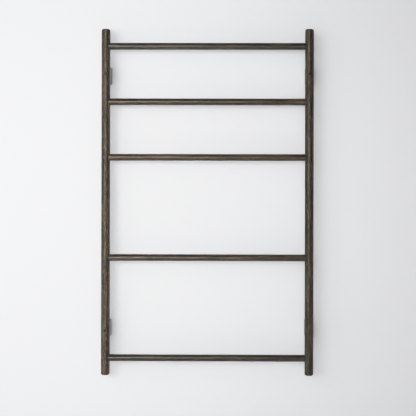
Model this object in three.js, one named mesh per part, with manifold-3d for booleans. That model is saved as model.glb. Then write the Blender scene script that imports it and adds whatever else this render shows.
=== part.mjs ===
// A wall-mounted towel ladder: two round oak posts joined by five round rungs, held off
// the wall by four block brackets that slip over wall plates and lock with grub screws.
//
// Millimetres, +Z up. The origin lies on the wall, at the middle of the frame's width and
// height. +X is to the right seen from the room, and +Y goes into the wall.
import * as THREE from "three";
import { mergeVertices, toCreasedNormals } from "three/addons/utils/BufferGeometryUtils.js";
import Module from "manifold-3d";

const wasm = await Module();
wasm.setup();

// Posts
const postLength = 1120;
const postSpacing = 660; // between the two posts' axes
const postDiameter = 28;
const postChamfer = 3;
const wallToPostAxis = 66;

// Rungs
const rungDiameter = 22;
const endMargin = 55; // from a post's end to the axis of the rung nearest to it
const upperPitch = 180; // between the axes of the three upper rungs
const tenonDiameter = 14;
const tenonChamfer = 1;
const mortiseDepth = 20; // from the inner side of the post
const mortiseEndGap = 1.5; // left for glue beyond the tenon's end

// Brackets
const bracketInset = 145; // from a post's end to the middle of the bracket nearest to it
const bracketWidth = 22;
const bracketHeight = 55;
const bracketCorner = 4;
const bracketWall = 3;
const saddleWall = 6; // metal between the cavity and the deepest line of the saddle

// Wall plates
const plateThickness = 8;
const wallHoleDiameter = 4.5;
const wallHoleSinkDiameter = 9;
const wallHoleSpacing = 28;

// Socket-head screws that hold each bracket to its post, each under a wooden plug
const screwDiameter = 4;
const screwHeadDiameter = 7;
const screwHeadHeight = 4;
const screwHeadChamfer = 0.4;
const screwSeatDepth = 10; // from the front of the post
const screwOverrun = 0.4; // how far the screw stands into the bracket's cavity
const screwSocketAcrossFlats = 3;
const screwSocketDepth = 2;
const plugDiameter = 8;

// Socket grub screws that lock each bracket to its wall plate
const grubDiameter = 4;
const grubLength = 5;
const grubPoint = 1.2;
const grubPointFlat = 1.6; // diameter left at the end of the point
const grubSunk = 0.5; // above the bracket's underside
const grubSocketAcrossFlats = 2;
const grubSocketDepth = 2;

// Clearances
const fitGap = 0.3; // between pieces that touch
const overcut = 1; // how far a cutter runs past the face it opens

// Sides of the round shapes
const postSides = 48;
const rungSides = 40;
const tenonSides = 24;
const plugSides = 32;
const smallSides = 16;

const finishes = {
  darkOak: { color: 0x5a5149, roughness: 0.55, metalness: 0 },
  satinGrey: { color: 0x75777a, roughness: 0.45, metalness: 0.7 },
  steel: { color: 0xb4b6b8, roughness: 0.35, metalness: 0.9 },
};

// Heights and sizes that follow from the ones above
const postTop = postLength / 2;
const lowerPitch = (postLength - 2 * endMargin - 2 * upperPitch) / 2;
const topRungZ = postTop - endMargin;
const thirdRungZ = topRungZ - 2 * upperPitch;
const rungs = [
  { name: "top_rung", z: topRungZ },
  { name: "second_rung", z: topRungZ - upperPitch },
  { name: "third_rung", z: thirdRungZ },
  { name: "fourth_rung", z: thirdRungZ - lowerPitch },
  { name: "bottom_rung", z: thirdRungZ - 2 * lowerPitch },
];
const posts = [
  { name: "left", x: -postSpacing / 2, inward: 1 },
  { name: "right", x: postSpacing / 2, inward: -1 },
];
const levels = [
  { name: "upper", z: postTop - bracketInset },
  { name: "lower", z: bracketInset - postTop },
];
const postRadius = postDiameter / 2;
const seatRadius = postRadius + fitGap; // of the hollows that fit round a post
const cavityWidth = bracketWidth - 2 * bracketWall;
const cavityHeight = bracketHeight - 2 * bracketWall;
const cavityDepth = wallToPostAxis - seatRadius - saddleWall;
const cavityCorner = Math.max(bracketCorner - bracketWall, 0.5);
const screwHoleDiameter = screwDiameter + 2 * fitGap;
const postFrontY = -wallToPostAxis - postRadius;
const headSeatY = postFrontY + screwSeatDepth - fitGap; // the underside of the screw's head
const screwLength = screwOverrun - cavityDepth - headSeatY;
const plugEndY = headSeatY - screwHeadHeight - fitGap;
const grubBaseZ = grubSunk - bracketHeight / 2;

// A closed geometry as a solid that can be cut and joined.
function solid(geometry) {
  const bare = geometry.clone();
  bare.deleteAttribute("normal");
  bare.deleteAttribute("uv");
  const merged = mergeVertices(bare, 1e-4);
  return new wasm.Manifold(
    new wasm.Mesh({
      numProp: 3,
      vertProperties: merged.attributes.position.array,
      triVerts: new Uint32Array(merged.index.array),
    }),
  );
}

// A solid as a geometry with sharp edges where its faces turn.
function geometryOf(body) {
  const { vertProperties, triVerts } = body.getMesh();
  const geometry = new THREE.BufferGeometry();
  geometry.setAttribute("position", new THREE.BufferAttribute(vertProperties, 3));
  geometry.setIndex(new THREE.BufferAttribute(triVerts, 1));
  return toCreasedNormals(geometry, THREE.MathUtils.degToRad(30));
}

// A round bar from one end to the other along X, Y or Z, in the middle of the other two.
function bar(axis, from, to, diameter, sides) {
  const geometry = new THREE.CylinderGeometry(diameter / 2, diameter / 2, to - from, sides);
  geometry.translate(0, (from + to) / 2, 0);
  if (axis === "x") geometry.rotateZ(-Math.PI / 2);
  if (axis === "z") geometry.rotateX(Math.PI / 2);
  return geometry;
}

// A turned shape whose outline runs up the axis, as [radius, height] points.
function turned(outline, sides) {
  const points = outline.map(([radius, height]) => new THREE.Vector2(radius, height));
  return new THREE.LatheGeometry(points, sides);
}

// An upright block with rounded corners, reaching from one Y to the next one towards the room.
function block(width, height, corner, fromY, toY) {
  const x = width / 2;
  const z = height / 2;
  const outline = new THREE.Shape();
  outline.absarc(x - corner, z - corner, corner, 0, Math.PI / 2);
  outline.absarc(corner - x, z - corner, corner, Math.PI / 2, Math.PI);
  outline.absarc(corner - x, corner - z, corner, Math.PI, 1.5 * Math.PI);
  outline.absarc(x - corner, corner - z, corner, 1.5 * Math.PI, 2 * Math.PI);
  const geometry = new THREE.ExtrudeGeometry(outline, {
    depth: fromY - toY,
    curveSegments: 5,
    bevelEnabled: false,
  });
  geometry.rotateX(Math.PI / 2);
  geometry.translate(0, fromY, 0);
  return geometry;
}

// Takes each cutter, a geometry moved by its offset, out of a body.
function cut(body, cutters) {
  for (const { geometry, at } of cutters) {
    body = body.subtract(solid(geometry.clone().translate(...at)));
  }
  return body;
}

// The width of a hexagon over its corners.
function acrossCorners(acrossFlats) {
  return acrossFlats / Math.cos(Math.PI / 6);
}

// A post in its own frame, with its axis on Z. Its mortises are on the inward side, 1 for
// +X or -1 for -X. A screw hole runs through it at each bracket, wide enough at the front
// for a head and a plug.
function postGeometry(inward) {
  const end = postRadius - postChamfer;
  const outline = [
    [0, -postTop],
    [end, -postTop],
    [postRadius, postChamfer - postTop],
    [postRadius, postTop - postChamfer],
    [end, postTop],
    [0, postTop],
  ];
  const body = solid(turned(outline, postSides).rotateX(Math.PI / 2));

  const mortise = bar(
    "x",
    postRadius - mortiseDepth,
    postRadius + overcut,
    tenonDiameter + 2 * fitGap,
    tenonSides,
  );
  if (inward < 0) mortise.rotateZ(Math.PI);
  const screwHole = bar("y", -postRadius, postRadius + overcut, screwHoleDiameter, smallSides);
  const plugHole = bar(
    "y",
    -postRadius - overcut,
    screwSeatDepth - postRadius,
    plugDiameter + 2 * fitGap,
    smallSides,
  );
  const cutters = rungs.map(({ z }) => ({ geometry: mortise, at: [0, 0, z] }));
  for (const level of levels) {
    cutters.push({ geometry: screwHole, at: [0, 0, level.z] });
    cutters.push({ geometry: plugHole, at: [0, 0, level.z] });
  }
  return geometryOf(cut(body, cutters));
}

// A rung in its own frame, with its axis on X. Each shoulder is hollowed to fit the post,
// and a turned tenon runs on into the post's mortise.
function rungGeometry() {
  const reach = postSpacing / 2;
  const stock = solid(bar("x", -reach, reach, rungDiameter, rungSides));
  const hollow = bar(
    "z",
    -rungDiameter / 2 - overcut,
    rungDiameter / 2 + overcut,
    2 * seatRadius,
    postSides,
  );
  const coped = cut(stock, [
    { geometry: hollow, at: [-reach, 0, 0] },
    { geometry: hollow, at: [reach, 0, 0] },
  ]);
  const tenonEnd = reach - postRadius + mortiseDepth - mortiseEndGap;
  const tenonRadius = tenonDiameter / 2;
  const tenons = turned(
    [
      [0, -tenonEnd],
      [tenonRadius - tenonChamfer, -tenonEnd],
      [tenonRadius, tenonChamfer - tenonEnd],
      [tenonRadius, tenonEnd - tenonChamfer],
      [tenonRadius - tenonChamfer, tenonEnd],
      [0, tenonEnd],
    ],
    tenonSides,
  ).rotateZ(-Math.PI / 2);
  return geometryOf(coped.add(solid(tenons)));
}

// A bracket in its own frame, with the middle of its back on the wall. It is a hollow block,
// open at the wall, with a saddle for the post, a screw hole and a hole for the grub screw.
function bracketGeometry() {
  const body = solid(
    block(bracketWidth, bracketHeight, bracketCorner, -fitGap, -wallToPostAxis),
  );
  const halfHeight = bracketHeight / 2;
  const cavity = block(cavityWidth, cavityHeight, cavityCorner, overcut, -cavityDepth);
  const saddle = bar("z", -halfHeight - overcut, halfHeight + overcut, 2 * seatRadius, postSides);
  const screwHole = bar(
    "y",
    -wallToPostAxis,
    overcut - cavityDepth,
    screwHoleDiameter,
    smallSides,
  );
  const grubHole = bar(
    "z",
    -halfHeight - overcut,
    bracketWall + overcut - halfHeight,
    grubDiameter + 2 * fitGap,
    smallSides,
  );
  const cutters = [
    { geometry: cavity, at: [0, 0, 0] },
    { geometry: saddle, at: [0, -wallToPostAxis, 0] },
    { geometry: screwHole, at: [0, 0, 0] },
    { geometry: grubHole, at: [0, -plateThickness / 2, 0] },
  ];
  return geometryOf(cut(body, cutters));
}

// A wall plate in the bracket's frame: it fills the mouth of the cavity, and has two
// countersunk holes for the wall screws and a seat for the grub screw's point.
function wallPlateGeometry() {
  const width = cavityWidth - 2 * fitGap;
  const height = cavityHeight - 2 * fitGap;
  const body = solid(block(width, height, cavityCorner, 0, -plateThickness));

  const through = wallHoleDiameter / 2;
  const sink = wallHoleSinkDiameter / 2;
  const wallHole = turned(
    [
      [0, -plateThickness - overcut],
      [sink + overcut, -plateThickness - overcut],
      [through, sink - through - plateThickness],
      [through, overcut],
      [0, overcut],
    ],
    smallSides,
  );
  const seat = bar(
    "z",
    -height / 2 - overcut,
    grubBaseZ + grubLength + fitGap,
    grubDiameter + 2 * fitGap,
    smallSides,
  );
  const cutters = [{ geometry: seat, at: [0, -plateThickness / 2, 0] }];
  for (const end of [-1, 1]) {
    cutters.push({ geometry: wallHole, at: [0, 0, (end * wallHoleSpacing) / 2] });
  }
  return geometryOf(cut(body, cutters));
}

// A socket-head screw with the underside of its head at the origin, pointing to +Y.
function postScrewGeometry() {
  const head = screwHeadDiameter / 2;
  const shank = screwDiameter / 2;
  const outline = [
    [0, -screwHeadHeight],
    [head - screwHeadChamfer, -screwHeadHeight],
    [head, screwHeadChamfer - screwHeadHeight],
    [head, 0],
    [shank, 0],
    [shank, screwLength],
    [0, screwLength],
  ];
  const socket = bar(
    "y",
    -screwHeadHeight - overcut,
    screwSocketDepth - screwHeadHeight,
    acrossCorners(screwSocketAcrossFlats),
    6,
  );
  return geometryOf(cut(solid(turned(outline, smallSides)), [{ geometry: socket, at: [0, 0, 0] }]));
}

// A plug in the bracket's frame, sanded flush with the round of the post.
function plugGeometry() {
  const blank = solid(bar("y", postFrontY - overcut, plugEndY, plugDiameter, plugSides));
  const round = bar("z", -plugDiameter, plugDiameter, postDiameter, postSides);
  round.translate(0, -wallToPostAxis, 0);
  return geometryOf(blank.intersect(solid(round)));
}

// A socket grub screw with its socket end at the origin, pointing to +Z.
function grubScrewGeometry() {
  const outline = [
    [0, 0],
    [grubDiameter / 2, 0],
    [grubDiameter / 2, grubLength - grubPoint],
    [grubPointFlat / 2, grubLength],
    [0, grubLength],
  ];
  const body = solid(turned(outline, smallSides).rotateX(Math.PI / 2));
  const across = acrossCorners(grubSocketAcrossFlats);
  const socket = bar("z", -overcut, grubSocketDepth, across, 6);
  return geometryOf(cut(body, [{ geometry: socket, at: [0, 0, 0] }]));
}

function addPart(group, name, geometry, finish, position) {
  const mesh = new THREE.Mesh(geometry, new THREE.MeshStandardMaterial(finish));
  mesh.name = name;
  mesh.position.set(...position);
  group.add(mesh);
}

// A bracket with its wall plate, screws and plug, in a group whose origin is on the wall.
function bracketGroup(prefix) {
  const group = new THREE.Group();
  addPart(group, `${prefix}_bracket`, bracketGeometry(), finishes.satinGrey, [0, 0, 0]);
  addPart(group, `${prefix}_wall_plate`, wallPlateGeometry(), finishes.steel, [0, 0, 0]);
  addPart(group, `${prefix}_post_screw`, postScrewGeometry(), finishes.steel, [0, headSeatY, 0]);
  addPart(group, `${prefix}_plug`, plugGeometry(), finishes.darkOak, [0, 0, 0]);
  const grubY = -plateThickness / 2;
  addPart(group, `${prefix}_grub_screw`, grubScrewGeometry(), finishes.steel, [0, grubY, grubBaseZ]);
  return group;
}

const towelLadder = new THREE.Group();
for (const { name, x, inward } of posts) {
  const post = postGeometry(inward);
  addPart(towelLadder, `${name}_post`, post, finishes.darkOak, [x, -wallToPostAxis, 0]);
  for (const level of levels) {
    const bracket = bracketGroup(`${level.name}_${name}`);
    bracket.position.set(x, 0, level.z);
    towelLadder.add(bracket);
  }
}
for (const rung of rungs) {
  addPart(towelLadder, rung.name, rungGeometry(), finishes.darkOak, [0, -wallToPostAxis, rung.z]);
}

export default towelLadder;
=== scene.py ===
import math

import bpy
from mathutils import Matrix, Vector


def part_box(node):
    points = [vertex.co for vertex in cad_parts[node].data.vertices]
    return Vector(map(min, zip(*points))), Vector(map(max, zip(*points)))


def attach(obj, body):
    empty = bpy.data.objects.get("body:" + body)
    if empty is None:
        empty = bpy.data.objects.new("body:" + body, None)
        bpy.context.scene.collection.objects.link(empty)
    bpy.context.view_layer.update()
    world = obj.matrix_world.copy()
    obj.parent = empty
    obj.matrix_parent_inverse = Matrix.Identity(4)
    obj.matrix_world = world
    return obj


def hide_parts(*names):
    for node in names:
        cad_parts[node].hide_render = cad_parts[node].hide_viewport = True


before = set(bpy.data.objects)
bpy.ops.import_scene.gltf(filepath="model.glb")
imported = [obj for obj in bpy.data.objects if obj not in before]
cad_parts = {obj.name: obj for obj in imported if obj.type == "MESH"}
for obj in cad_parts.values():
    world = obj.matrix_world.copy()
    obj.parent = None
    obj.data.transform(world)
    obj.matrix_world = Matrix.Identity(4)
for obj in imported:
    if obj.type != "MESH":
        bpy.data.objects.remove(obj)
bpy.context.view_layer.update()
print("frame loaded:", len(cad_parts), "nodes")

mm = 0.001
body = "root"  # nothing on the rack moves, so every piece rides on the one body

postNames = ["left_post", "right_post"]
rungNames = ["top_rung", "second_rung", "third_rung", "fourth_rung", "bottom_rung"]
bracketNames = ["upper_left", "upper_right", "lower_left", "lower_right"]


def centreOf(node):
    low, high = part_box(node)
    return (low + high) / 2


def sizeOf(node):
    low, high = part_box(node)
    return high - low


postAxisY = centreOf("left_post").y
postRadius = sizeOf("left_post").x / 2


def addNode(tree, kind, inputs=None, **settings):
    node = tree.nodes.new(kind)
    for key, value in settings.items():
        setattr(node, key, value)
    for key, value in (inputs or {}).items():
        if isinstance(value, bpy.types.NodeSocket):
            tree.links.new(value, node.inputs[key])
        else:
            node.inputs[key].default_value = value
    return node


def calc(tree, how, a, b=0.0, c=0.0):
    return addNode(tree, "ShaderNodeMath", {0: a, 1: b, 2: c}, operation=how).outputs[0]


def vectorCalc(tree, how, a, b=(0, 0, 0)):
    return addNode(tree, "ShaderNodeVectorMath", {0: a, 1: b}, operation=how)


def ranged(tree, value, low, high, outLow=0.0, outHigh=1.0):
    node = addNode(tree, "ShaderNodeMapRange", {"Value": value, "From Min": low, "From Max": high})
    node.inputs["To Min"].default_value = outLow
    node.inputs["To Max"].default_value = outHigh
    node.interpolation_type = "SMOOTHSTEP"
    return node.outputs[0]


def mixed(tree, factor, a, b, how="MIX"):
    node = tree.nodes.new("ShaderNodeMix")
    node.data_type = "RGBA"
    node.blend_type = how
    for socket, value in ((node.inputs[0], factor), (node.inputs[6], a), (node.inputs[7], b)):
        if isinstance(value, bpy.types.NodeSocket):
            tree.links.new(value, socket)
        else:
            socket.default_value = (*value, 1) if isinstance(value, tuple) else value
    return node.outputs[2]


def noiseAt(tree, where, scale=1.0, detail=2.0, roughness=0.5):
    return addNode(
        tree,
        "ShaderNodeTexNoise",
        {"Vector": where, "Scale": scale, "Detail": detail, "Roughness": roughness},
    ).outputs[0]


def newFinish(name):
    finish = bpy.data.materials.new(name)
    finish.use_nodes = True
    tree = finish.node_tree
    return finish, tree, tree.nodes["Principled BSDF"]


cameraSet = {
    "distance": 2.9,  # from the posts' axes
    "right": 0.105,
    "up": 0.040,
    "lens": 77.44,  # mm
    "sensor": 36,
    "shiftX": -0.0613,
    "shiftY": -0.0436,
    "turn": 0.4,  # degrees, to the left
    "roll": -0.13,  # degrees
    "clipEnd": 50,
}


def placeCamera(s):
    data = bpy.data.cameras.new("roomCamera")
    data.sensor_width = s["sensor"]
    data.lens = s["lens"]
    data.shift_x = s["shiftX"]
    data.shift_y = s["shiftY"]
    data.clip_end = s["clipEnd"]
    camera = bpy.data.objects.new("roomCamera", data)
    camera.location = (s["right"], postAxisY - s["distance"], s["up"])
    camera.rotation_euler = (math.radians(90), math.radians(s["roll"]), math.radians(s["turn"]))
    bpy.context.collection.objects.link(camera)
    bpy.context.scene.camera = camera


# a lamp with lights off only adds shine, and one with shines off adds none
lampSet = {
    "key": {  # soft, from the left
        "at": (-1.0, -2.3, 0.3),
        "aim": (-0.3, 0, 0),
        "wide": 1.0,
        "tall": 1.8,
        "watts": 9.5,
        "tint": (0.972, 0.985, 1.03),
    },
    "window": {  # large and near, softens the key's shadows
        "at": (-1.5, -1.8, 0.6),
        "aim": (-0.5, 0, 0),
        "wide": 2.2,
        "tall": 2.2,
        "watts": 18.1,
        "tint": (0.99, 0.995, 1.01),
        "shines": False,
    },
    "front": {  # beside the camera, so its shadows hide behind the bars
        "at": (0.1, -3.3, 0.15),
        "aim": (0, 0, 0.1),
        "wide": 1.2,
        "tall": 1.2,
        "watts": 32.5,
        "tint": (1.0, 0.988, 0.95),
        "shines": False,
    },
    "gridded": {  # a narrow beam on the wall's left side
        "at": (-0.85, -3.2, 0.25),
        "aim": (-0.75, 0, 0.1),
        "wide": 1.5,
        "tall": 1.0,
        "spread": 68,  # degrees
        "watts": 5.2,
        "tint": (0.98, 0.99, 1.02),
    },
    "rungStrip": {  # the shine along the rungs
        "at": (-0.65, -3.2, 0.7),
        "aim": (-0.3, 0, 0.1),
        "wide": 2.1,
        "tall": 0.6,
        "watts": 22,
        "tint": (1.0, 1.0, 1.0),
        "lights": False,
    },
    "postStrip": {  # the shine along the posts
        "at": (-1.1, -3.2, -0.9),
        "aim": (-0.2, 0, -0.2),
        "wide": 0.7,
        "tall": 2.0,
        "watts": 26,
        "tint": (1.0, 1.0, 1.0),
        "lights": False,
    },
}
backLampSet = {  # for the plates' backs, behind the wall
    "at": (0.5, 2.6, 0.5),
    "aim": (0, 0, 0),
    "wide": 3.5,
    "tall": 3.0,
    "watts": 24,
    "tint": (1.0, 1.0, 1.0),
}
floorLampSet = {  # for the far part of the floor
    "at": (0, -3.9, 2.0),
    "aim": (0, -3.9, -1),
    "wide": 7.0,
    "tall": 2.6,
    "spread": 110,
    "watts": 36,
    "tint": (1.0, 1.0, 1.0),
    "shines": False,
}
# the room gives a little light, more from in front, and seen is how it looks past the wall
worldSet = {
    "seen": (0.70, 0.70, 0.71),
    "bright": (0.10, 0.10, 0.10),
    "dim": (0.09, 0.09, 0.09),
    "towards": (-0.3, -1, 0.15),
}


# holds back the brightest part of the wall
toneCurve = [
    (0, 0),
    (0.2, 0.2),
    (0.4, 0.45),
    (0.55, 0.6),
    (0.7, 0.72),
    (0.85, 0.83),
    (1.0, 0.89),
]


def hangLamp(name, s):
    data = bpy.data.lights.new(name, "AREA")
    data.shape = "ELLIPSE"
    data.size = s["wide"]
    data.size_y = s["tall"]
    data.spread = math.radians(s.get("spread", 180))
    data.energy = s["watts"]
    data.color = s["tint"]
    lamp = bpy.data.objects.new(name, data)
    lamp.location = s["at"]
    lamp.visible_camera = False
    lamp.visible_diffuse = s.get("lights", True)
    lamp.visible_glossy = s.get("shines", True)
    beam = Vector(s["aim"]) - Vector(s["at"])
    lamp.rotation_euler = beam.to_track_quat("-Z", "Y").to_euler()
    bpy.context.collection.objects.link(lamp)
    return lamp


# the lamp lights these things only, and only they can shade it
def lightOnly(lamp, name, things):
    group = bpy.data.collections.new(name)
    for thing in things:
        group.objects.link(thing)
    lamp.light_linking.receiver_collection = group
    lamp.light_linking.blocker_collection = group


def lightRoom():
    for name, s in lampSet.items():
        hangLamp(name, s)
    world = bpy.data.worlds.new("paleRoom")
    world.use_nodes = True
    tree = world.node_tree
    direction = addNode(tree, "ShaderNodeTexCoord").outputs["Generated"]
    towards = tuple(Vector(worldSet["towards"]).normalized())
    facing = vectorCalc(tree, "DOT_PRODUCT", direction, towards).outputs["Value"]
    sky = mixed(tree, ranged(tree, facing, 0.0, 0.9), worldSet["dim"], worldSet["bright"])
    isSeen = addNode(tree, "ShaderNodeLightPath").outputs["Is Camera Ray"]
    sky = mixed(tree, isSeen, sky, worldSet["seen"])
    tree.links.new(sky, tree.nodes["Background"].inputs["Color"])
    bpy.context.scene.world = world
    view = bpy.context.scene.view_settings
    view.view_transform = "Standard"
    view.use_curve_mapping = True
    curve = view.curve_mapping.curves[3]  # the combined one
    curve.points[-1].location = toneCurve[-1]
    for point in toneCurve[1:-1]:
        curve.points.new(*point)
    view.curve_mapping.update()


oakSet = {
    "dark": (0.013, 0.009, 0.0065),
    "mid": (0.044, 0.029, 0.016),
    "brown": (0.122, 0.074, 0.038),
    "grey": (0.085, 0.074, 0.045),
    "pore": (0.003, 0.0022, 0.0018),
    "ray": (0.16, 0.120, 0.070),
    "fleck": (0.20, 0.140, 0.075),
    "greyAmount": 0.8,
    "fleckAmount": 0.6,
    "earlyAmount": 0.35,
    "rayAmount": 0.55,
    "poreAmount": 0.85,
    "endAmount": 0.6,
    "fewestPores": 0.12,
    "mostPores": 0.75,
    "ringWidth": 2.3 * mm,
    "ringBend": 16 * mm,
    "ringSlope": 0.022,
    "ringWaver": 1.6,  # rings
    "roughness": 0.29,
    "poreDepth": 0.16 * mm,
    # width across the grain and length along it
    "bendSize": (60 * mm, 220 * mm),
    "waverSize": (9 * mm, 90 * mm),
    "poreSize": (0.30 * mm, 5.0 * mm),
    "raySize": (0.9 * mm, 9 * mm),
    "streakSize": (5 * mm, 70 * mm),
    "patchSize": (13 * mm, 190 * mm),
    "hueSize": (7 * mm, 120 * mm),
    "fibreSize": (0.5 * mm, 12 * mm),
    "fleckSize": (2.2 * mm, 15 * mm),
}
seedStep = 7.31  # metres along the grain from one piece's wood to the next


def oakFinish(name, along, centre, look, s=oakSet):
    # along is the grain's direction, pith is where the tree's heart would be beside the dowel
    pith, seed, toneAndPaintedLight = look["pith"], look["seed"], look["toneAndPaintedLight"]
    finish, tree, shader = newFinish(name)
    place = addNode(tree, "ShaderNodeTexCoord").outputs["Object"]
    offset = vectorCalc(tree, "SUBTRACT", place, tuple(centre)).outputs[0]
    split = addNode(tree, "ShaderNodeSeparateXYZ", {0: offset}).outputs
    facing = addNode(tree, "ShaderNodeNewGeometry").outputs["Normal"]
    facingSplit = addNode(tree, "ShaderNodeSeparateXYZ", {0: facing}).outputs
    order = {"x": (1, 2, 0), "y": (0, 2, 1), "z": (0, 1, 2)}[along]
    u, v, w = (split[i] for i in order)
    facingU, facingV, facingW = (facingSplit[i] for i in order)
    wSeeded = calc(tree, "ADD", w, seed * seedStep)
    grain = addNode(tree, "ShaderNodeCombineXYZ", {0: u, 1: v, 2: wSeeded}).outputs[0]

    def stretched(width, length):
        return vectorCalc(tree, "MULTIPLY", grain, (1 / width, 1 / width, 1 / length)).outputs[0]

    # year rings round the pith, bent a little along the dowel
    bend = noiseAt(tree, stretched(*s["bendSize"]), detail=2)
    bent = calc(tree, "MULTIPLY_ADD", bend, s["ringBend"], -s["ringBend"] / 2)
    slope = calc(tree, "MULTIPLY_ADD", w, s["ringSlope"], bent)
    ringU = calc(tree, "ADD", u, slope)
    ringPlace = addNode(tree, "ShaderNodeCombineXYZ", {0: ringU, 1: v, 2: 0.0}).outputs[0]
    fromPith = vectorCalc(tree, "SUBTRACT", ringPlace, (*pith, 0)).outputs[0]
    radius = vectorCalc(tree, "LENGTH", fromPith).outputs["Value"]
    rings = calc(tree, "DIVIDE", radius, s["ringWidth"])
    waver = noiseAt(tree, stretched(*s["waverSize"]), detail=3)
    wavering = calc(tree, "MULTIPLY_ADD", waver, s["ringWaver"], rings)
    ringPhase = calc(tree, "FRACT", wavering)
    early = ranged(tree, ringPhase, 0.42, 0.05)

    # pores are short dark dashes, thick in the early wood
    porePlace = stretched(*s["poreSize"])
    cells = addNode(tree, "ShaderNodeTexVoronoi", {"Vector": porePlace, "Scale": 1.0})
    cellChance = addNode(tree, "ShaderNodeSeparateXYZ", {0: cells.outputs["Color"]}).outputs[0]
    poreChance = ranged(tree, early, 0.0, 1.0, s["fewestPores"], s["mostPores"])
    isPore = calc(tree, "LESS_THAN", cellChance, poreChance)
    poreShape = ranged(tree, cells.outputs["Distance"], 0.42, 0.22)
    pore = calc(tree, "MULTIPLY", isPore, poreShape)

    # rays show as pale flecks where the face is square to the rings
    outward = vectorCalc(tree, "NORMALIZE", fromPith).outputs[0]
    faceAcross = addNode(tree, "ShaderNodeCombineXYZ", {0: facingU, 1: facingV, 2: 0.0}).outputs[0]
    squareness = vectorCalc(tree, "DOT_PRODUCT", outward, faceAcross).outputs["Value"]
    alignment = calc(tree, "ABSOLUTE", squareness)
    quartered = ranged(tree, alignment, 0.45, 0.1)
    flecks = noiseAt(tree, stretched(*s["raySize"]), detail=1)
    ray = calc(tree, "MULTIPLY", quartered, ranged(tree, flecks, 0.60, 0.72))

    # the stain took unevenly, in long streaks
    streak = noiseAt(tree, stretched(*s["streakSize"]), detail=3, roughness=0.6)
    patch = noiseAt(tree, stretched(*s["patchSize"]), detail=2)
    hue = noiseAt(tree, stretched(*s["hueSize"]), detail=2)
    fibre = noiseAt(tree, stretched(*s["fibreSize"]), detail=3, roughness=0.65)

    colour = mixed(tree, ranged(tree, streak, 0.40, 0.60), s["dark"], s["mid"])
    colour = mixed(tree, ranged(tree, patch, 0.50, 0.72, 0, look["warmth"]), colour, s["brown"])
    colour = mixed(tree, ranged(tree, hue, 0.52, 0.68, 0, s["greyAmount"]), colour, s["grey"])
    fleck = ranged(tree, noiseAt(tree, stretched(*s["fleckSize"]), detail=2), 0.55, 0.68)
    colour = mixed(tree, calc(tree, "MULTIPLY", fleck, s["fleckAmount"]), colour, s["fleck"])
    colour = mixed(tree, calc(tree, "MULTIPLY", early, s["earlyAmount"]), colour, s["dark"])
    colour = mixed(tree, calc(tree, "MULTIPLY", ray, s["rayAmount"]), colour, s["ray"])
    colour = mixed(tree, calc(tree, "MULTIPLY", pore, s["poreAmount"]), colour, s["pore"])
    shade = ranged(tree, fibre, 0.25, 0.75, 0.82, 1.18)
    shadeColour = addNode(tree, "ShaderNodeCombineXYZ", {0: shade, 1: shade, 2: shade}).outputs[0]
    colour = mixed(tree, 1.0, colour, shadeColour, "MULTIPLY")
    # each piece's own stain tone, and for the posts also painted light: lighter on the left post,
    # darker on the right
    colour = mixed(tree, 1.0, colour, toneAndPaintedLight, "MULTIPLY")

    # end grain drinks more stain
    endGrain = ranged(tree, calc(tree, "ABSOLUTE", facingW), 0.45, 0.85)
    colour = mixed(tree, calc(tree, "MULTIPLY", endGrain, s["endAmount"]), colour, s["dark"])
    tree.links.new(colour, shader.inputs["Base Color"])

    rough = calc(tree, "MULTIPLY_ADD", streak, -0.12, s["roughness"] + look["matt"])
    rough = calc(tree, "MULTIPLY_ADD", fleck, -0.10, rough)
    rough = calc(tree, "MULTIPLY_ADD", pore, 0.22, rough)
    rough = calc(tree, "MULTIPLY_ADD", endGrain, look["endMatt"], rough)
    tree.links.new(rough, shader.inputs["Roughness"])

    height = calc(tree, "MULTIPLY", pore, -1.0)
    height = calc(tree, "MULTIPLY_ADD", early, -0.22, height)
    height = calc(tree, "MULTIPLY_ADD", fibre, 0.18, height)
    bump = addNode(tree, "ShaderNodeBump", {"Height": height, "Distance": s["poreDepth"]})
    tree.links.new(bump.outputs[0], shader.inputs["Normal"])
    return finish


bracketGrey = {
    "colour": (0.30, 0.305, 0.31),
    "worn": (0.48, 0.485, 0.49),
    "roughness": 0.42,
    "metallic": 0.75,
}
plateZinc = {
    "colour": (0.46, 0.47, 0.48),
    "worn": (0.58, 0.585, 0.59),
    "roughness": 0.34,
    "metallic": 0.95,
}
screwZinc = {
    "colour": (0.50, 0.50, 0.49),
    "worn": (0.62, 0.62, 0.60),
    "roughness": 0.28,
    "metallic": 0.95,
}


# scales are in noise cells to the metre
metalGrain = {
    "cloud": 90,
    "grit": 2600,
    "brush": (1800, 1800, 60),
    "scratch": (700, 260, 90),
    "scratchAmount": 0.5,
    "depth": 0.02 * mm,
}


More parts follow.
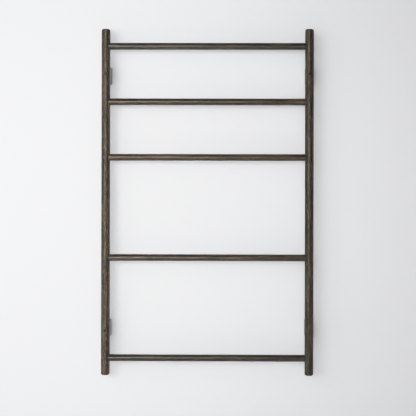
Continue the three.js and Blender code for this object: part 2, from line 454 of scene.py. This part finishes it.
def metalFinish(name, s, grain=metalGrain):
    finish, tree, shader = newFinish(name)
    place = addNode(tree, "ShaderNodeTexCoord").outputs["Object"]
    cloud = noiseAt(tree, place, scale=grain["cloud"], detail=3)
    grit = noiseAt(tree, place, scale=grain["grit"], detail=2)
    brushPlace = vectorCalc(tree, "MULTIPLY", place, grain["brush"]).outputs[0]
    brush = noiseAt(tree, brushPlace, detail=3, roughness=0.6)
    scratchPlace = vectorCalc(tree, "MULTIPLY", place, grain["scratch"]).outputs[0]
    scratch = ranged(tree, noiseAt(tree, scratchPlace, detail=1), 0.66, 0.72)
    bare = ranged(tree, cloud, 0.55, 0.75, 0, 0.5)
    colour = mixed(tree, bare, s["colour"], s["worn"])
    scratched = calc(tree, "MULTIPLY", scratch, grain["scratchAmount"])
    colour = mixed(tree, scratched, colour, s["worn"])
    tree.links.new(colour, shader.inputs["Base Color"])
    rough = calc(tree, "MULTIPLY_ADD", cloud, 0.16, s["roughness"] - 0.08)
    rough = calc(tree, "MULTIPLY_ADD", brush, 0.10, rough)
    tree.links.new(rough, shader.inputs["Roughness"])
    shader.inputs["Metallic"].default_value = s["metallic"]
    height = calc(tree, "MULTIPLY_ADD", brush, 0.6, grit)
    height = calc(tree, "MULTIPLY_ADD", scratch, -0.8, height)
    bump = addNode(tree, "ShaderNodeBump", {"Height": height, "Distance": grain["depth"]})
    tree.links.new(bump.outputs[0], shader.inputs["Normal"])
    return finish


# a closed skin over rings with the same number of points, and one point at each end
def lofted(name, loops, firstPole, lastPole):
    count = len(loops[0])
    points = [p for loop in loops for p in loop] + [firstPole, lastPole]
    first, last = len(points) - 2, len(points) - 1
    faces = []
    for i in range(count):
        j = (i + 1) % count
        faces.append((first, j, i))
        for ring in range(len(loops) - 1):
            low, high = ring * count, (ring + 1) * count
            faces.append((low + i, low + j, high + j, high + i))
        top = (len(loops) - 1) * count
        faces.append((top + i, top + j, last))
    mesh = bpy.data.meshes.new(name)
    mesh.from_pydata([tuple(p) for p in points], [], faces)
    mesh.validate()
    return mesh


# rounds each inner corner of an outline of (radius, height) points
def eased(corners, ease, steps=4):
    outline = [corners[0]]
    for before, corner, after in zip(corners, corners[1:], corners[2:]):
        here = Vector(corner)
        back, on = Vector(before) - here, Vector(after) - here
        if corner[0] == 0 or back.length == 0 or on.length == 0:
            outline.append(corner)
            continue
        reach = min(ease, back.length * 0.45, on.length * 0.45)
        start, end = here + back.normalized() * reach, here + on.normalized() * reach
        for step in range(steps + 1):
            t = step / steps
            outline.append(tuple(start * (1 - t) ** 2 + here * 2 * t * (1 - t) + end * t**2))
    outline.append(corners[-1])
    return outline


# adds points along an outline so that no stretch is longer than longest
def divided(outline, longest):
    result = [outline[0]]
    for a, b in zip(outline, outline[1:]):
        a, b = Vector(a), Vector(b)
        parts = max(1, math.ceil((b - a).length / longest))
        result += [tuple(a.lerp(b, k / parts)) for k in range(1, parts + 1)]
    return result


# turns an outline of (radius, height) about an axis, and place gives each point
def turned(name, outline, steps, place):
    rings = [
        [place(radius, 2 * math.pi * i / steps, height) for i in range(steps)]
        for radius, height in outline[1:-1]
    ]
    return lofted(name, rings, place(0, 0, outline[0][1]), place(0, 0, outline[-1][1]))


def upright(x, y):
    return lambda radius, angle, z: (x + radius * math.cos(angle), y + radius * math.sin(angle), z)


def sideways(y, z):
    return lambda radius, angle, x: (x, y + radius * math.cos(angle), z + radius * math.sin(angle))


def pointingBack(x, z):
    return lambda radius, angle, y: (x + radius * math.sin(angle), y, z + radius * math.cos(angle))


# steps round an edge's quarter circle, as shares that fall from 1 to 0 and rise from 0 to 1
def quarterRound(steps):
    turns = [step / steps * math.pi / 2 for step in range(steps + 1)]
    return [(1 - math.sin(turn), 1 - math.cos(turn)) for turn in turns]


cutting = {
    "past": 1 * mm,  # how far a cutter goes beyond the face that it cuts
    "sides": 40,
    "smallSides": 32,
}


def straightHole(radius, start, end):
    return [(0, start), (radius, start), (radius, end), (0, end)]


# takes the cutters' shapes out of a mesh
def cutOut(mesh, cutters):
    work = bpy.data.objects.new("work", mesh)
    bpy.context.collection.objects.link(work)
    tools = []
    for cutter in cutters:
        tool = bpy.data.objects.new("tool", cutter)
        bpy.context.collection.objects.link(tool)
        modifier = work.modifiers.new("cut", "BOOLEAN")
        modifier.operation = "DIFFERENCE"
        modifier.solver = "EXACT"
        modifier.object = tool
        tools.append(tool)
    bpy.context.view_layer.update()
    result = bpy.data.meshes.new_from_object(work.evaluated_get(bpy.context.evaluated_depsgraph_get()))
    for thing in (work, *tools):
        bpy.data.objects.remove(thing)
    return result


def finishPiece(name, mesh, finish, node, sharpAngle=35):
    mesh.name = name
    mesh.materials.clear()
    mesh.materials.append(finish)
    mesh.shade_smooth()
    mesh.set_sharp_from_angle(angle=math.radians(sharpAngle))
    piece = bpy.data.objects.new(name, mesh)
    bpy.context.collection.objects.link(piece)
    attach(piece, body)
    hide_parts(node)
    return piece


postShape = {
    "around": 96,
    "longest": 8 * mm,
    "chamfer": 3 * mm,
    "ease": 1.0 * mm,
    "mortise": 7.3 * mm,
    "mortiseDepth": 20 * mm,
    "screwHole": 2.3 * mm,
    "plugHole": 4.15 * mm,
    "screwSeat": 10 * mm,
}
postLooks = {
    "left_post": {
        "pith": (0.075, -0.045),
        "seed": 3,
        # partly its own stain, partly painted light: raised so its flanks look lit by the lamp at the
        # left
        "toneAndPaintedLight": (1.3, 1.29, 1.3),
        "warmth": 0.45,
        "matt": 0.25,
        "endMatt": 0.2,
    },
    "right_post": {
        "pith": (-0.05, -0.09),
        "seed": 11,
        # partly its own stain, partly painted shade: lowered as it stands further from the lamp
        "toneAndPaintedLight": (0.8, 0.82, 0.74),
        "warmth": 0.4,
        "matt": 0.25,
        "endMatt": 0.2,
    },
}


def makePost(node, s=postShape):
    low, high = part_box(node)
    centre = (low + high) / 2
    radius = (high.x - low.x) / 2
    side = 1 if centre.x < 0 else -1  # the other post is on this side
    corners = [
        (0, low.z),
        (radius - s["chamfer"], low.z),
        (radius, low.z + s["chamfer"]),
        (radius, high.z - s["chamfer"]),
        (radius - s["chamfer"], high.z),
        (0, high.z),
    ]
    outline = divided(eased(corners, s["ease"]), s["longest"])
    mesh = turned(node, outline, s["around"], upright(centre.x, centre.y))

    cutters = []
    for rung in rungNames:
        z = centreOf(rung).z
        inner = centre.x + side * (radius - s["mortiseDepth"])
        outer = centre.x + side * (radius + cutting["past"])
        hole = straightHole(s["mortise"], min(inner, outer), max(inner, outer))
        cutters.append(turned("mortise", hole, cutting["sides"], sideways(centre.y, z)))
    for bracket in bracketNames:
        spot = centreOf(f"{bracket}_plug")
        if (spot.x < 0) != (centre.x < 0):
            continue
        front = low.y - cutting["past"]
        seat = low.y + s["screwSeat"]
        back = high.y + cutting["past"]
        hole = [
            (0, front),
            (s["plugHole"], front),
            (s["plugHole"], seat),
            (s["screwHole"], seat),
            (s["screwHole"], back),
            (0, back),
        ]
        cutters.append(turned("screwHole", hole, cutting["sides"], pointingBack(spot.x, spot.z)))
    mesh = cutOut(mesh, cutters)
    look = postLooks[node]
    finish = oakFinish(f"darkOak_{node}", "z", centre, look)
    return finishPiece(f"{node}_dowel", mesh, finish, node)


rungShape = {
    "around": 80,
    "alongSteps": 96,
    "seatGap": 0.25 * mm,
    "ease": 0.5 * mm,
    "tenon": 7 * mm,
    "tenonChamfer": 1 * mm,
    "tenonInner": 13 * mm,  # from the post's axis to the tenon's inner end
    "shoulderShares": (0.0, 0.35, 0.7, 1.0),
}
rungLooks = {
    "top_rung": {
        "pith": (0.05, 0.07),
        "seed": 21,
        "toneAndPaintedLight": (0.84, 0.9, 1.0),
        "warmth": 0.35,
        "matt": 0.10,
        "endMatt": 0.2,
    },
    "second_rung": {
        "pith": (-0.09, 0.02),
        "seed": 33,
        "toneAndPaintedLight": (1.12, 1.1, 1.07),
        "warmth": 0.6,
        "matt": 0.10,
        "endMatt": 0.2,
    },
    "third_rung": {
        "pith": (0.03, -0.1),
        "seed": 47,
        "toneAndPaintedLight": (1.12, 1.1, 1.05),
        "warmth": 0.65,
        "matt": 0.10,
        "endMatt": 0.2,
    },
    "fourth_rung": {
        "pith": (0.08, -0.03),
        "seed": 58,
        "toneAndPaintedLight": (1.02, 1.02, 0.98),
        "warmth": 0.5,
        "matt": 0.10,
        "endMatt": 0.2,
    },
    "bottom_rung": {
        "pith": (-0.04, 0.09),
        "seed": 62,
        "toneAndPaintedLight": (0.84, 0.93, 1.05),
        "warmth": 0.15,
        "matt": 0.10,
        "endMatt": 0.2,
    },
}


def makeRung(node, s=rungShape):
    low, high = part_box(node)
    centre = (low + high) / 2
    radius = (high.z - low.z) / 2
    postX = centreOf("right_post").x
    seatRadius = postRadius + s["seatGap"]

    def shoulderX(y):
        return postX - math.sqrt(seatRadius**2 - (y - centre.y) ** 2)

    def ring(ringRadius, xAt):
        loop = []
        for i in range(s["around"]):
            angle = 2 * math.pi * i / s["around"]
            y = centre.y + ringRadius * math.cos(angle)
            z = centre.z + ringRadius * math.sin(angle)
            loop.append((xAt(y), y, z))
        return loop

    # the right half's rings from the tenon's end to the barrel, which the left half mirrors
    halfRings = []
    tenonOutline = [
        (s["tenon"] * 0.5, high.x),
        (s["tenon"] - s["tenonChamfer"], high.x),
        (s["tenon"], high.x - s["tenonChamfer"]),
        (s["tenon"], postX - s["tenonInner"]),
    ]
    for ringRadius, x in tenonOutline:
        halfRings.append(ring(ringRadius, lambda y, x=x: x))
    for share in s["shoulderShares"]:
        ringRadius = s["tenon"] + share * (radius - s["ease"] - s["tenon"])
        halfRings.append(ring(ringRadius, shoulderX))
    for falling, rising in quarterRound(4)[1:]:
        ringRadius = radius - s["ease"] * falling
        back = s["ease"] * rising
        halfRings.append(ring(ringRadius, lambda y, back=back: shoulderX(y) - back))
    mirrored = [[(2 * centre.x - x, y, z) for x, y, z in loop] for loop in halfRings]

    barrel = []
    for step in range(1, s["alongSteps"]):
        share = step / s["alongSteps"]

        def reach(y, share=share):
            return centre.x + (2 * share - 1) * (shoulderX(y) - s["ease"] - centre.x)

        barrel.append(ring(radius, reach))
    loops = mirrored + barrel + halfRings[::-1]
    mesh = lofted(node, loops, (low.x, centre.y, centre.z), (high.x, centre.y, centre.z))
    look = rungLooks[node]
    finish = oakFinish(f"darkOak_{node}", "x", centre, look)
    return finishPiece(f"{node}_dowel", mesh, finish, node)


bracketShape = {
    "corner": 4 * mm,
    "wall": 3 * mm,
    "cavityCorner": 1 * mm,
    "saddleWall": 6 * mm,
    "seatGap": 0.3 * mm,
    "ease": 0.7 * mm,
    "innerEase": 0.4 * mm,
    "cornerSteps": 8,
    "sideSteps": 10,
    "leastCorner": 0.3 * mm,
    "saddleInsets": (10.4, 9, 7.5, 6, 4.5, 3, 1.7),  # mm from the edge, rows on the saddle
    "sideShares": (0.15, 0.4, 0.7, 0.9),
    "cavityShares": (0.25, 0.5, 0.75, 1.0),
    "floorInsets": (4.5, 6.5, 8.5, 10.4),  # mm, rows on the cavity's floor
    "screwHole": 2.3 * mm,
    "grubHole": 2.3 * mm,
}
quarters = [(1, 1), (-1, 1), (-1, -1), (1, -1)]  # which way each corner lies


# points round an upright rectangle with rounded corners, about its middle
def roundedOutline(width, height, corner, s=bracketShape):
    corner = min(corner, width * 0.49, height * 0.49)
    points = []
    for quarter, (sx, sz) in enumerate(quarters):
        cx, cz = sx * (width / 2 - corner), sz * (height / 2 - corner)
        for step in range(s["cornerSteps"] + 1):
            angle = (quarter + step / s["cornerSteps"]) * math.pi / 2
            points.append(Vector((cx + corner * math.cos(angle), cz + corner * math.sin(angle))))
        nx, nz = quarters[(quarter + 1) % 4]
        nextCentre = Vector((nx * (width / 2 - corner), nz * (height / 2 - corner)))
        nextAngle = (quarter + 1) * math.pi / 2
        start = points[-1]
        end = nextCentre + corner * Vector((math.cos(nextAngle), math.sin(nextAngle)))
        for step in range(1, s["sideSteps"]):
            points.append(start.lerp(end, step / s["sideSteps"]))
    return points


def makeBracket(prefix, finish, s=bracketShape):
    node = f"{prefix}_bracket"
    low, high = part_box(node)
    centre = (low + high) / 2
    width, height = high.x - low.x, high.z - low.z
    seatRadius = postRadius + s["seatGap"]
    floorY = postAxisY + seatRadius + s["saddleWall"]

    def loop(inset, corner, yAt):
        outline = roundedOutline(width - 2 * inset, height - 2 * inset, corner)
        return [(centre.x + p.x, yAt(p.x), centre.z + p.y) for p in outline]

    def saddleY(x):
        return postAxisY + math.sqrt(seatRadius**2 - x**2)

    def rounded(inset):
        return max(s["corner"] - inset, s["leastCorner"])

    loops = []
    for inset in s["saddleInsets"]:
        loops.append(loop(inset * mm, rounded(inset * mm), saddleY))
    for falling, rising in quarterRound(4):
        inset = s["ease"] * falling
        rise = s["ease"] * rising
        loops.append(loop(inset, rounded(inset), lambda x, rise=rise: saddleY(x) + rise))
    backY = high.y
    for share in s["sideShares"]:

        def sideY(x, share=share):
            return (saddleY(x) + s["ease"]) * (1 - share) + (backY - s["ease"]) * share

        loops.append(loop(0, s["corner"], sideY))
    for falling, rising in quarterRound(4):
        inset = s["ease"] * rising
        y = backY - s["ease"] * falling
        loops.append(loop(inset, rounded(inset), lambda x, y=y: y))
    for falling, rising in quarterRound(3):
        inset = s["wall"] - s["innerEase"] * falling
        y = backY - s["innerEase"] * rising
        cornerHere = s["cavityCorner"] + (s["wall"] - inset)
        loops.append(loop(inset, cornerHere, lambda x, y=y: y))
    for share in s["cavityShares"]:
        y = backY - s["innerEase"] + (floorY - backY + s["innerEase"]) * share
        loops.append(loop(s["wall"], s["cavityCorner"], lambda x, y=y: y))
    for inset in s["floorInsets"]:
        loops.append(loop(inset * mm, s["leastCorner"], lambda x: floorY))
    mesh = lofted(node, loops, (centre.x, saddleY(0), centre.z), (centre.x, floorY, centre.z))

    hole = straightHole(s["screwHole"], postAxisY, floorY + 2 * cutting["past"])
    place = pointingBack(centre.x, centre.z)
    screwHole = turned("screwHole", hole, cutting["smallSides"], place)
    grub = centreOf(f"{prefix}_grub_screw")
    bottom, top = low.z - cutting["past"], low.z + s["wall"] + cutting["past"]
    hole = straightHole(s["grubHole"], bottom, top)
    grubHole = turned("grubHole", hole, cutting["smallSides"], upright(grub.x, grub.y))
    mesh = cutOut(mesh, [screwHole, grubHole])
    return finishPiece(f"{prefix}_block", mesh, finish, node)


plateShape = {
    "corner": 1 * mm,
    "ease": 0.3 * mm,
    "wallHole": 2.25 * mm,  # radius
    "sink": 4.5 * mm,  # radius of the countersink
    "spacing": 28 * mm,
    "seat": 2.3 * mm,  # the hollow for the grub screw's point
    "seatDepth": 2.5 * mm,
    "faceInsets": (1.2, 3, 5, 7),  # mm from the edge, rows on both faces
}


def makeWallPlate(prefix, finish, s=plateShape):
    node = f"{prefix}_wall_plate"
    low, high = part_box(node)
    centre = (low + high) / 2
    width, height = high.x - low.x, high.z - low.z

    def loop(inset, y):
        outline = roundedOutline(width - 2 * inset, height - 2 * inset, s["corner"])
        return [(centre.x + p.x, y, centre.z + p.y) for p in outline]

    loops = [loop(inset * mm, low.y) for inset in s["faceInsets"][::-1]]
    for falling, rising in quarterRound(3):
        loops.append(loop(s["ease"] * falling, low.y + s["ease"] * rising))
    for share in (0.3, 0.7):
        loops.append(loop(0, low.y + (high.y - low.y) * share))
    for falling, rising in quarterRound(3):
        loops.append(loop(s["ease"] * rising, high.y - s["ease"] * falling))
    loops += [loop(inset * mm, high.y) for inset in s["faceInsets"]]
    mesh = lofted(node, loops, (centre.x, low.y, centre.z), (centre.x, high.y, centre.z))

    past = cutting["past"]
    hole = [
        (0, low.y - past),
        (s["sink"] + past, low.y - past),
        (s["wallHole"], low.y + s["sink"] - s["wallHole"]),
        (s["wallHole"], high.y + past),
        (0, high.y + past),
    ]
    cutters = []
    for end in (-1, 1):
        place = pointingBack(centre.x, centre.z + end * s["spacing"] / 2)
        cutters.append(turned("wallHole", hole, cutting["sides"], place))
    grub = centreOf(f"{prefix}_grub_screw")
    hole = straightHole(s["seat"], low.z - past, low.z + s["seatDepth"])
    cutters.append(turned("grubSeat", hole, cutting["smallSides"], upright(grub.x, grub.y)))
    return finishPiece(f"{prefix}_plate", cutOut(mesh, cutters), finish, node)


plugShape = {
    "around": 48,
    "ease": 0.25 * mm,
    "frontShares": (0.25, 0.5, 0.75),  # of the radius, rows on the front
    "backShare": 0.4,
}
plugLooks = {
    "upper_left": {
        "pith": (0.04, 0.05),
        "seed": 71,
        "toneAndPaintedLight": (1.0, 1.1, 1.0),
        "warmth": 0.2,
        "matt": 0.25,
        "endMatt": 0.16,
    },
    "upper_right": {
        "pith": (0.04, 0.05),
        "seed": 75,
        "toneAndPaintedLight": (0.12, 0.15, 0.25),
        "warmth": 0,
        "matt": 0.25,
        "endMatt": 0.5,
    },
    "lower_left": {
        "pith": (0.04, 0.05),
        "seed": 83,
        "toneAndPaintedLight": (0.75, 0.6, 0.75),
        "warmth": 0,
        "matt": 0.25,
        "endMatt": 0.4,
    },
    "lower_right": {
        "pith": (0.04, 0.05),
        "seed": 88,
        "toneAndPaintedLight": (1.2, 1.2, 1.2),
        "warmth": 0.4,
        "matt": 0.25,
        "endMatt": 0.12,
    },
}


def makePlug(prefix, s=plugShape):
    node = f"{prefix}_plug"
    low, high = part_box(node)
    centre = (low + high) / 2
    radius = (high.z - low.z) / 2

    def ring(ringRadius, yAt):
        loop = []
        for i in range(s["around"]):
            angle = 2 * math.pi * i / s["around"]
            x = ringRadius * math.sin(angle)
            loop.append((centre.x + x, yAt(x), centre.z + ringRadius * math.cos(angle)))
        return loop

    def frontY(x):
        return postAxisY - math.sqrt(postRadius**2 - x**2)

    loops = [ring(radius * share, frontY) for share in s["frontShares"]]
    for falling, rising in quarterRound(3):
        sunk = s["ease"] * rising
        ringRadius = radius - s["ease"] * falling
        loops.append(ring(ringRadius, lambda x, sunk=sunk: frontY(x) + sunk))
    loops.append(ring(radius, lambda x: high.y - s["ease"]))
    loops.append(ring(radius - s["ease"], lambda x: high.y))
    loops.append(ring(radius * s["backShare"], lambda x: high.y))
    mesh = lofted(node, loops, (centre.x, frontY(0), centre.z), (centre.x, high.y, centre.z))
    look = plugLooks[prefix]
    finish = oakFinish(f"plugOak_{prefix}", "y", centre, look)
    return finishPiece(f"{prefix}_face_plug", mesh, finish, node)


postScrewShape = {
    "shank": 2 * mm,
    "head": 3.5 * mm,
    "headHeight": 4 * mm,
    "socketFlats": 3 * mm,
    "socketDepth": 2 * mm,
    "pitch": 0.7 * mm,
    "threadDepth": 0.4 * mm,
    "point": 0.4 * mm,
    "pointRadius": 1.5 * mm,
}
grubScrewShape = {
    "shank": 2 * mm,
    "head": 0,
    "headHeight": 0,
    "socketFlats": 2 * mm,
    "socketDepth": 2 * mm,
    "pitch": 0.7 * mm,
    "threadDepth": 0.35 * mm,
    "point": 1.2 * mm,
    "pointRadius": 0.8 * mm,
}


# what both kinds of screw share
screwDetail = {
    "around": 48,
    "rim": 0.25 * mm,
    "socketFlare": 0.12 * mm,
    "flareDepth": 0.15 * mm,
    "underRim": 0.1 * mm,
    "threadGap": 0.8 * mm,  # from the head, or from the socket end
    "turnSteps": 6,  # rings to a turn of the thread
}


# a hex socket screw from its socket end at start to its point at end
def makeSocketScrew(name, node, start, end, place, finish, s, d=screwDetail):
    steps = d["around"]
    way = 1 if end > start else -1

    def hexRadius(angle):
        return s["socketFlats"] / 2 / math.cos((angle % (math.pi / 3)) - math.pi / 6)

    def ring(radiusAt, depth):
        height = start + way * depth
        angles = [way * 2 * math.pi * i / steps for i in range(steps)]
        return [place(radiusAt(angle), angle, height) for angle in angles]

    outer = s["head"] or s["shank"]
    loops = [ring(lambda a: 0.5 * hexRadius(a), s["socketDepth"])]
    loops.append(ring(hexRadius, s["socketDepth"]))
    loops.append(ring(hexRadius, d["flareDepth"]))
    loops.append(ring(lambda a: hexRadius(a) + d["socketFlare"], 0))
    loops.append(ring(lambda a: outer - d["rim"], 0))
    loops.append(ring(lambda a: outer, d["rim"]))
    under = s["headHeight"]
    if s["head"]:
        loops.append(ring(lambda a: outer, under - d["underRim"]))
        loops.append(ring(lambda a: outer - d["underRim"], under))
        loops.append(ring(lambda a: s["shank"], under))
    length = abs(end - start)
    threadStart, threadEnd = under + d["threadGap"], length - s["point"]
    ringCount = math.ceil((threadEnd - threadStart) / s["pitch"] * d["turnSteps"])
    for k in range(ringCount + 1):
        depth = threadStart + (threadEnd - threadStart) * k / ringCount
        fade = min(1, k / d["turnSteps"], (ringCount - k) / d["turnSteps"])

        def threadRadius(angle, depth=depth, fade=fade):
            phase = (depth / s["pitch"] - angle / (2 * math.pi)) % 1
            return s["shank"] - s["threadDepth"] * fade * abs(2 * phase - 1)

        loops.append(ring(threadRadius, depth))
    loops.append(ring(lambda a: s["pointRadius"], length))
    loops.append(ring(lambda a: s["pointRadius"] * 0.5, length))
    firstPole = place(0, 0, start + way * s["socketDepth"])
    mesh = lofted(node, loops, firstPole, place(0, 0, end))
    return finishPiece(name, mesh, finish, node)


def makeScrews(prefix, finish):
    node = f"{prefix}_post_screw"
    low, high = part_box(node)
    place = pointingBack(centreOf(node).x, centreOf(node).z)
    makeSocketScrew(f"{prefix}_cap_screw", node, low.y, high.y, place, finish, postScrewShape)
    node = f"{prefix}_grub_screw"
    low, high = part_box(node)
    place = upright(centreOf(node).x, centreOf(node).y)
    makeSocketScrew(f"{prefix}_set_screw", node, low.z, high.z, place, finish, grubScrewShape)


stageSet = {
    "wall": (0.792, 0.796, 0.815),
    "floor": (0.78, 0.78, 0.78),
    "roughness": 0.9,
    "shine": 0.1,
    "wallGap": 0.5 * mm,
    "wallWidth": 5.0,
    "wallHeight": 4.2,
    "floorDrop": 0.36,  # below the posts
    "floorSize": 9.0,
}


def stageFinish(name, colour, s=stageSet):
    finish, tree, shader = newFinish(name)
    shader.inputs["Base Color"].default_value = (*colour, 1)
    shader.inputs["Roughness"].default_value = s["roughness"]
    shader.inputs["Specular IOR Level"].default_value = s["shine"]
    return finish, tree, shader


def stagePlane(name, corners, finish):
    mesh = bpy.data.meshes.new(name)
    mesh.from_pydata(corners, [], [(0, 1, 2, 3)])
    mesh.materials.append(finish)
    plane = bpy.data.objects.new(name, mesh)
    bpy.context.collection.objects.link(plane)
    return plane


def setStage(s=stageSet):
    wallPaint, tree, shader = stageFinish("wallPaint", s["wall"])
    # the wall shows from the room side only, so the rack's back can be looked at
    clear = addNode(tree, "ShaderNodeBsdfTransparent").outputs[0]
    behind = addNode(tree, "ShaderNodeNewGeometry").outputs["Backfacing"]
    oneSided = addNode(tree, "ShaderNodeMixShader", {0: behind, 1: shader.outputs[0], 2: clear})
    tree.links.new(oneSided.outputs[0], tree.nodes["Material Output"].inputs["Surface"])
    halfWidth, halfHeight, y = s["wallWidth"] / 2, s["wallHeight"] / 2, s["wallGap"]
    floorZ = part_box("left_post")[0].z - s["floorDrop"]
    corners = [
        (-halfWidth, y, floorZ),
        (halfWidth, y, floorZ),
        (halfWidth, y, halfHeight),
        (-halfWidth, y, halfHeight),
    ]
    stagePlane("paleWall", corners, wallPaint)
    floorPaint = stageFinish("floorPaint", s["floor"])[0]
    half = s["floorSize"] / 2
    corners = [
        (-half, -half, floorZ),
        (half, -half, floorZ),
        (half, half, floorZ),
        (-half, half, floorZ),
    ]
    floor = stagePlane("paleFloor", corners, floorPaint)
    lightOnly(hangLamp("floorLamp", floorLampSet), "roomFloor", [floor])


placeCamera(cameraSet)
lightRoom()
setStage()
print("stage, camera and light set")

for node in postNames:
    makePost(node)
print("posts made")
for node in rungNames:
    makeRung(node)
print("rungs made")

bracketFinish = metalFinish("bracketGrey", bracketGrey)
plateFinish = metalFinish("plateZinc", plateZinc)
screwFinish = metalFinish("screwZinc", screwZinc)
for prefix in bracketNames:
    makeBracket(prefix, bracketFinish)
    makeWallPlate(prefix, plateFinish)
    makePlug(prefix)
    makeScrews(prefix, screwFinish)
print("brackets, plates, plugs and screws made")

# behind the wall a lamp lights the plates' backs, which the wall would leave black
plates = [bpy.data.objects[f"{prefix}_plate"] for prefix in bracketNames]
lightOnly(hangLamp("backLamp", backLampSet), "plateBacks", plates)
